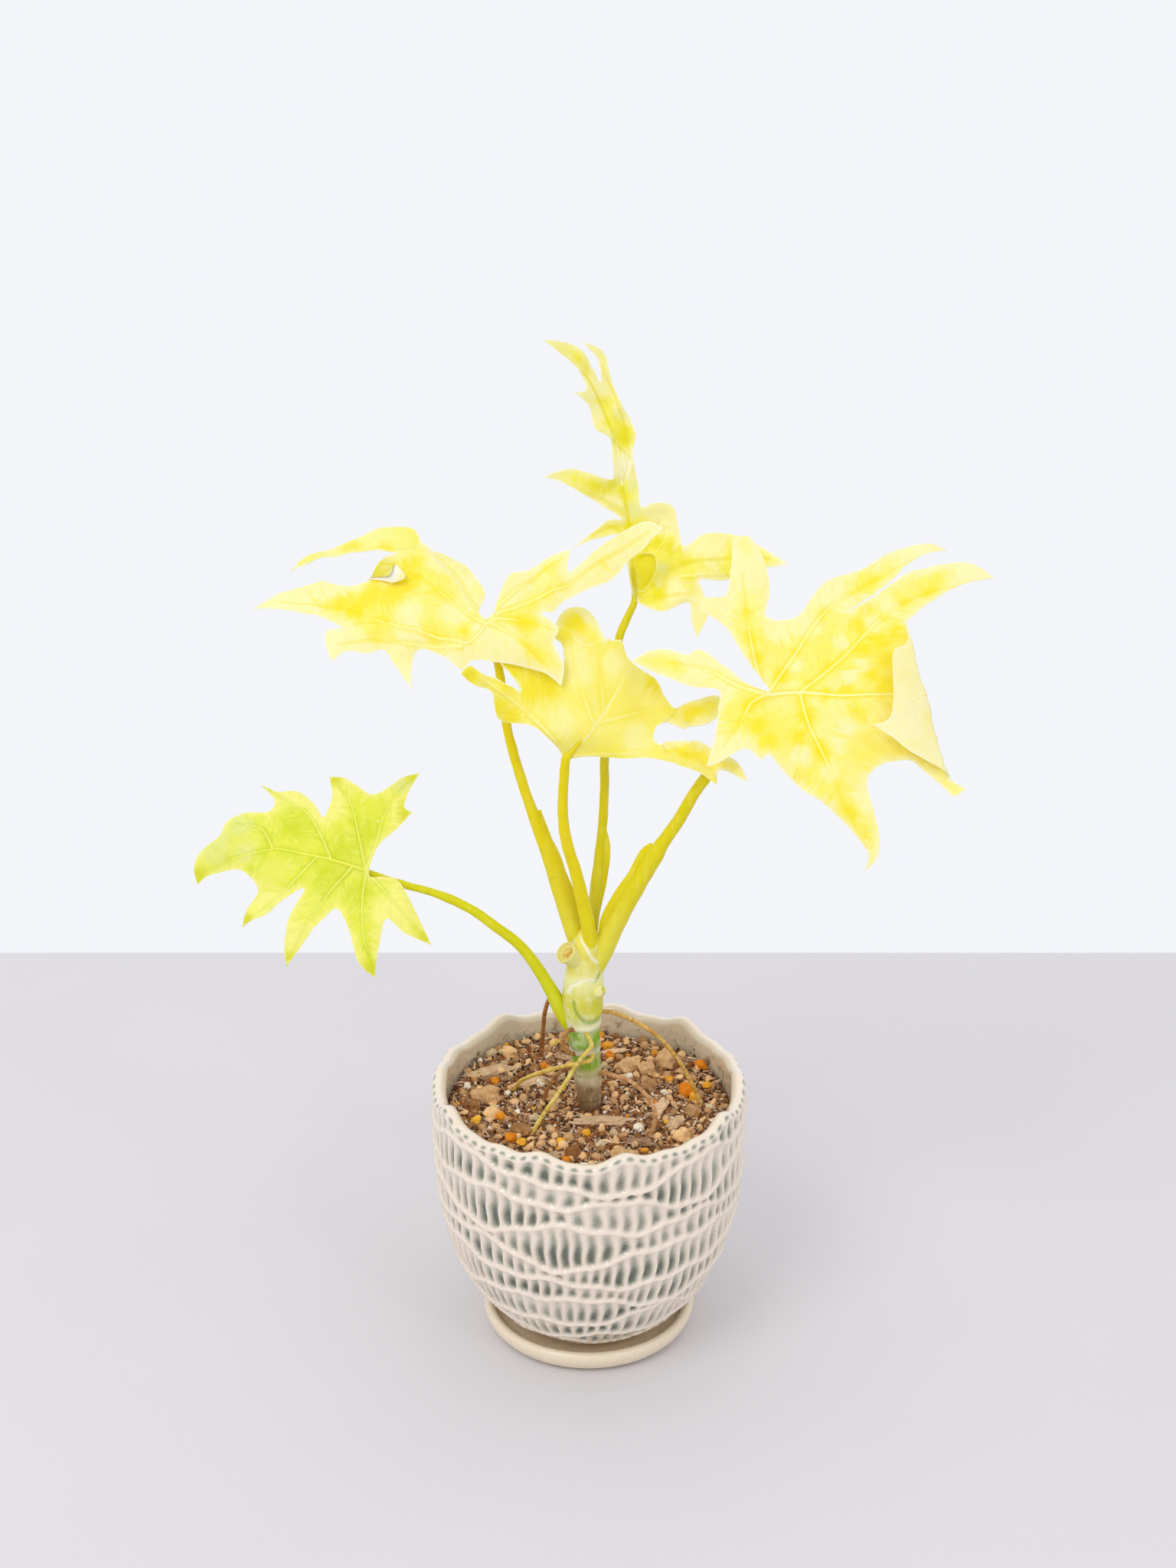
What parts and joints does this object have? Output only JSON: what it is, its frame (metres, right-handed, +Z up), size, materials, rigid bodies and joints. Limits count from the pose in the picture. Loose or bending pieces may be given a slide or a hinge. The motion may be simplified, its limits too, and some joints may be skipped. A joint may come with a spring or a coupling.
{
  "type": "potted philodendron",
  "caption": "Young golden philodendron with lobed leaves on long stalks, in a round carved ceramic pot that stands on a low saucer.",
  "frame": {"origin": "centre of the saucer's flat underside, on the pot's axis", "axes": "+Z up along the pot's axis, -Y towards the front, +X to the right seen from the front"},
  "size_m": [0.2817, 0.115, 0.375],
  "materials": {
    "carved_glaze": "glossy glaze, cream on the ridges, grey-green where it pools",
    "cream_glaze": "satin glaze",
    "potting_mix": "dry bark, pumice and loam",
    "stem_skin": "smooth green skin, corky at the foot",
    "petiole_skin": "smooth satin skin",
    "root_skin": "matte skin",
    "leaf_green": "satin leaf, veined",
    "leaf_gold": "satin leaf, veined"
  },
  "bodies": {
    "root": {"saucer": "cream_glaze", "pot": "carved_glaze", "soil": "potting_mix", "stem": "stem_skin", "petiole_low_left": "petiole_skin", "petiole_upper_left": "petiole_skin", "petiole_centre": "petiole_skin", "petiole_right": "petiole_skin", "petiole_top": "petiole_skin", "blade_low_left": "leaf_green", "blade_upper_left": "leaf_gold", "blade_centre": "leaf_gold", "blade_right": "leaf_gold", "blade_top": "leaf_gold", "aerial_root_back_left": "root_skin", "aerial_root_right_long": "root_skin", "aerial_root_front_long": "root_skin", "aerial_root_front_left": "root_skin", "aerial_root_left_short": "root_skin", "aerial_root_right_front": "root_skin", "aerial_root_loop": "root_skin", "aerial_root_stub": "root_skin"}
  },
  "joints": []
}
